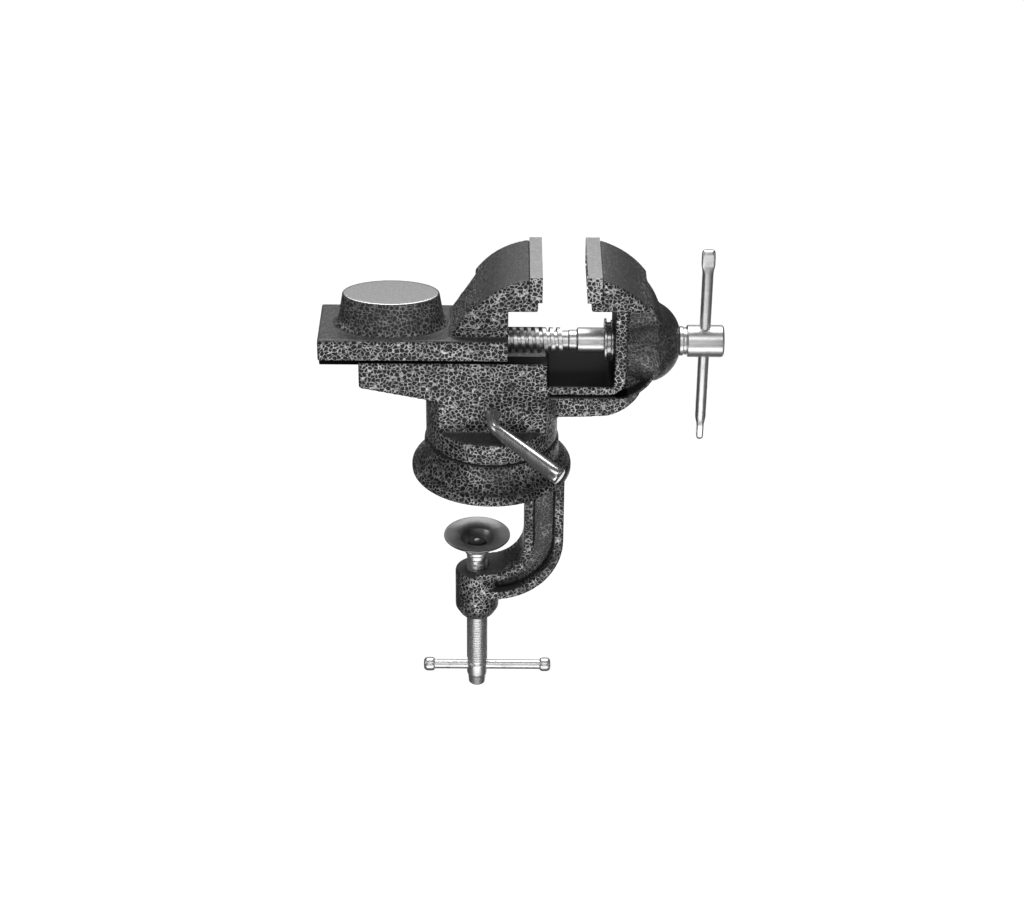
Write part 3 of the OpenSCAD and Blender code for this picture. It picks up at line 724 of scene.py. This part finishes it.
def turned_shell(profile, centre, along, count=96):
    """A closed ring-shaped solid from a closed profile."""
    side = along.orthogonal().normalized()
    up = along.cross(side)
    bm = bmesh.new()
    rows = [[bm.verts.new(p) for p in ring(centre + along * (s * mm), side, up, r * mm, count=count)]
            for s, r in profile]
    for low, high in zip(rows, rows[1:] + rows[:1]):
        for i in range(count):
            bm.faces.new((low[i], low[(i + 1) % count], high[(i + 1) % count], high[i]))
    bmesh.ops.recalc_face_normals(bm, faces=bm.faces)
    return finished(bm)


hole = 4.6
under = dish(14.0, math.degrees(math.asin(hole / 14.0)), 55.0)
over = dish(11.5, 55.0, math.degrees(math.asin(hole / 11.5)))
rim = [(-45.75, 18.3), (-45.3, 18.7), (-44.8, 18.6), (-44.55, 18.1), (-44.7, 17.2), (-45.5, 15.0)]
piece("clamp_pad_pressed", [(turned_shell(under + rim + over, clamp_centre, Z), pad_steel)],
      "clamp_pad", "pressed_steel", "clamp_pad", crease=50)

# %% [markdown]
# ## The swivel lock
# A bar screwed into the body, bent forward of it and thickening towards its bright
# chamfered end. Rings are carried along a straight leg, a bend and a second straight leg.

# %% Bend the lever
lock_x, lock_z, front_y = 0.8, 45.5, -22.0
lever_out, bend_r, dip = 14.0, 8.0, math.radians(24.0)
reach = Vector((39.1, -25.0, 0.0))
shank_r, leg_r, end_r = 4.0, 3.3, 4.85


def lever_rings():
    corner = Vector((lock_x, front_y - lever_out, lock_z))
    arm = Matrix.Rotation(dip, 3, "Y") @ reach.normalized()
    turn = (-Y).angle(arm)
    tangent = bend_r * math.tan(turn / 2)
    inward = (arm + Y * arm.dot(-Y)).normalized()
    centre = corner + Y * tangent + inward * bend_r
    up = arm.cross(Y).normalized()
    rings = []

    def carry(point, way, radius):
        rings.append(ring(point * mm, way.cross(up).normalized(), up, radius * mm, count=48))

    for y, r in ((-15.2, shank_r - 0.6), (-15.8, shank_r), (-24.0, shank_r), (-24.7, leg_r + 0.15),
                 (-25.2, leg_r)):
        carry(Vector((lock_x, y, lock_z)), -Y, r)
    for i in range(13):
        a = turn * i / 12
        way = -Y * math.cos(a) + inward * math.sin(a)
        carry(centre - inward * (bend_r * math.cos(a)) - Y * (bend_r * math.sin(a)), way, leg_r)
    length = reach.length
    for part, r in ((0.35, None), (0.6, None), (0.85, None), (0.972, None), (0.99, end_r - 0.35),
                    (1.0, end_r - 1.1)):
        s = tangent + (length - tangent) * part
        carry(corner + arm * s, arm, r or leg_r + (end_r - leg_r) * (s - tangent) / (length - tangent))
    return rings


lever_steel = turned_steel("lever steel", "X", 0.78, 0.16, 300.0)
piece("lock_lever_bent", [(skin(lever_rings()), lever_steel)], "lock_lever", "turned_steel",
      "lock_lever", crease=40)

# %% [markdown]
# ## Studio
# The floor and the backdrop are plain white and wide enough to leave no edge in a view from
# above the floor. They glow for the camera alone; the light on the vise comes from soft
# lamps in a dim room. Bright steel shows only what it mirrors, so the lamps stand where its
# faces look: a wide one overhead, three in front at different heights, two behind and one
# at each side.

# %% Floor and backdrop
def glow(name, level):
    f = Finish(name)
    cloud = f.noise(0.2, 1.0)
    tint = f.blend(cloud, grey(level), grey(level * 1.01))
    return f.done(Base_Color=(0, 0, 0, 1), Roughness=1.0, Emission_Color=tint, Emission_Strength=1.0,
                  Specular_IOR_Level=0.0)


def camera_only(thing):
    for kind in ("diffuse", "glossy", "transmission", "volume_scatter", "shadow"):
        setattr(thing, "visible_" + kind, False)


def stage_mesh(name, bm):
    mesh = finished(bm)
    mesh.materials.append(paper)
    thing = bpy.data.objects.new(name, mesh)
    bpy.context.scene.collection.objects.link(thing)
    camera_only(thing)


paper = glow("white studio paper", 1.04)
floor = bmesh.new()
bmesh.ops.create_circle(floor, cap_ends=True, segments=96, radius=6.0,
                        matrix=Matrix.Translation((0, 0, cad_box[0].z - 0.012)))
stage_mesh("floor", floor)
dome = bmesh.new()
bmesh.ops.create_uvsphere(dome, u_segments=48, v_segments=24, radius=6.2)
bmesh.ops.reverse_faces(dome, faces=dome.faces)
stage_mesh("backdrop", dome)

# %% Lamps
def lamp(name, place, target, width, height, brightness):
    """A soft rectangular lamp; brightness is how bright its face looks."""
    data = bpy.data.lights.new(name, "AREA")
    data.shape, data.size, data.size_y = "RECTANGLE", width, height
    data.energy = brightness * math.pi * width * height
    thing = bpy.data.objects.new(name, data)
    thing.location = place
    thing.rotation_euler = (Vector(target) - Vector(place)).to_track_quat("-Z", "Y").to_euler()
    thing.visible_camera = False
    bpy.context.scene.collection.objects.link(thing)
    print("lamp", name, "gives", round(data.energy, 2), "W")


centre = (cad_box[0] + cad_box[1]) / 2
lamp("overhead", (0.0, 0.45, 0.95), centre, 0.9, 0.6, 5.0)
lamp("front_card", (0.0, -0.62, -0.36), (0, 0, 0.03), 0.95, 0.42, 2.0)
lamp("front_level", (0.0, -1.05, 0.28), centre, 0.60, 0.45, 1.0)
lamp("front_top", (0.05, -0.75, 0.85), centre, 0.95, 0.30, 2.4)
lamp("left_side", (-0.95, -0.30, 0.50), centre, 0.45, 0.50, 1.7)
lamp("right_side", (1.0, -0.45, 0.05), centre, 0.30, 0.35, 1.6)
lamp("behind_above", (0.0, 1.0, 0.62), centre, 1.2, 0.5, 0.50)
lamp("behind_low", (0.12, 0.56, -0.46), (0, 0, 0.03), 0.80, 0.42, 1.3)

sky = bpy.data.worlds.new("dim room")
bpy.context.scene.world = sky
sky.use_nodes = True
sky.node_tree.nodes["Background"].inputs["Color"].default_value = grey(1.0)
sky.node_tree.nodes["Background"].inputs["Strength"].default_value = 0.075
bpy.context.scene.view_settings.view_transform = "Standard"

# %% Camera
height, side, roll = math.radians(30.5), math.radians(0.3), math.radians(0.5)
distance, aim_right, aim_up = 1.3467, 0.01139, 0.00611
look = Vector((math.sin(side) * math.cos(height), math.cos(side) * math.cos(height), -math.sin(height)))
level = Vector((math.cos(side), -math.sin(side), 0))
right = level * math.cos(roll) + level.cross(look) * math.sin(roll)
upward = right.cross(look)
eye = right * aim_right + upward * aim_up - look * distance
lens = bpy.data.cameras.new("camera")
lens.lens, lens.sensor_width, lens.clip_end = 85.2, 36.0, 30.0
camera = bpy.data.objects.new("camera", lens)
camera.matrix_world = Matrix.Translation(eye) @ Matrix((right, upward, -look)).transposed().to_4x4()
bpy.context.scene.collection.objects.link(camera)
bpy.context.scene.camera = camera
print("camera stands", round(distance, 3), "m away")
